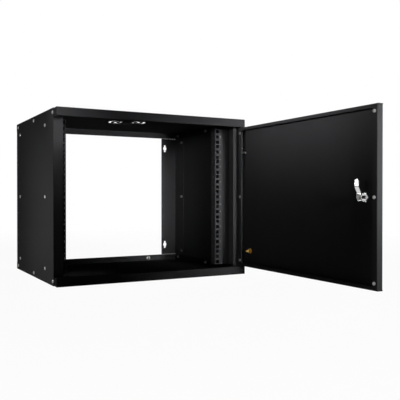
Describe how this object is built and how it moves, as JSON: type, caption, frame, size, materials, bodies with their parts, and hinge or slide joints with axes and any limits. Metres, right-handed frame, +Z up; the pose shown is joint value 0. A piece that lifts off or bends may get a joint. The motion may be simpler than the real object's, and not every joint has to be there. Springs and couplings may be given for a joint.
{
  "type": "wall mount network cabinet",
  "caption": "Shallow black steel wall cabinet for 19 inch equipment with an open back, perforated rails, a top vent and one hinged sheet metal door with a cam lock, standing open",
  "frame": {"origin": "middle of the back's bottom edge, on the wall plane; the wall_face mount is stated 3 mm up, past the bend of the flange", "axes": "+X to the right and +Y into the wall for someone who faces the cabinet, +Z up; the door opens towards -Y"},
  "size_m": [0.5566, 0.983, 0.4451],
  "materials": {
    "black_powder_coat": "black powder coat, fine semi-gloss texture",
    "zinc_plated_steel": "bright zinc plating",
    "polished_chrome": "polished plating on a cast lock",
    "brass": "plain turned brass",
    "black_nylon": "matt black nylon",
    "spring_steel": "bare spring steel"
  },
  "bodies": {
    "cabinet": {"left_side_panel": "black_powder_coat", "right_side_panel": "black_powder_coat", "left_front_rail": "black_powder_coat", "right_front_rail": "black_powder_coat", "left_rear_post": "black_powder_coat", "right_rear_post": "black_powder_coat", "left_cover_screws": "zinc_plated_steel", "left_cover_nuts": "zinc_plated_steel", "left_rail_screws": "zinc_plated_steel", "left_rail_nuts": "zinc_plated_steel", "left_post_screws": "zinc_plated_steel", "left_post_nuts": "zinc_plated_steel", "right_cover_screws": "zinc_plated_steel", "right_cover_nuts": "zinc_plated_steel", "right_rail_screws": "zinc_plated_steel", "right_rail_nuts": "zinc_plated_steel", "right_post_screws": "zinc_plated_steel", "right_post_nuts": "zinc_plated_steel", "body_earth_stud": "zinc_plated_steel", "body_earth_washer": "zinc_plated_steel", "body_earth_nut": "zinc_plated_steel", "top_cover": "black_powder_coat", "bottom_cover": "black_powder_coat", "lower_hinge_pin": "zinc_plated_steel", "lower_hinge_washer": "black_nylon"},
    "door": {"door_panel": "black_powder_coat", "door_hinge_strip": "black_powder_coat", "door_lock_strip": "black_powder_coat", "door_edge_screws": "zinc_plated_steel", "upper_hinge_bracket": "black_powder_coat", "hinge_spring": "spring_steel", "lock_housing": "polished_chrome", "lock_nut": "polished_chrome", "door_earth_stud": "brass", "door_earth_washer": "brass", "door_earth_nut": "brass"},
    "lock_core": {"lock_plug": "polished_chrome", "lock_cam": "polished_chrome", "cam_washer": "zinc_plated_steel", "cam_bolt": "zinc_plated_steel"},
    "spring_pin": {"upper_hinge_pin": "zinc_plated_steel", "hinge_pin_clip": "spring_steel"}
  },
  "joints": [
    {"name": "door_swing", "type": "hinge", "parent": "cabinet", "child": "door", "pos_m": [0.268, -0.442, 0.22253], "axis": [0, 0, 1], "range_deg": [-90, 90]},
    {"name": "cam_turn", "type": "hinge", "parent": "door", "child": "lock_core", "pos_m": [0.276, -0.934, 0.22253], "axis": [1, 0, 0], "range_deg": [0, 90]},
    {"name": "hinge_pin_pull", "type": "slide", "parent": "door", "child": "spring_pin", "axis": [0, 0, -1], "range_m": [0, 0.008], "stiffness_N_per_m": 500, "springref_m": -0.008, "deforming": ["hinge_spring"]}
  ]
}
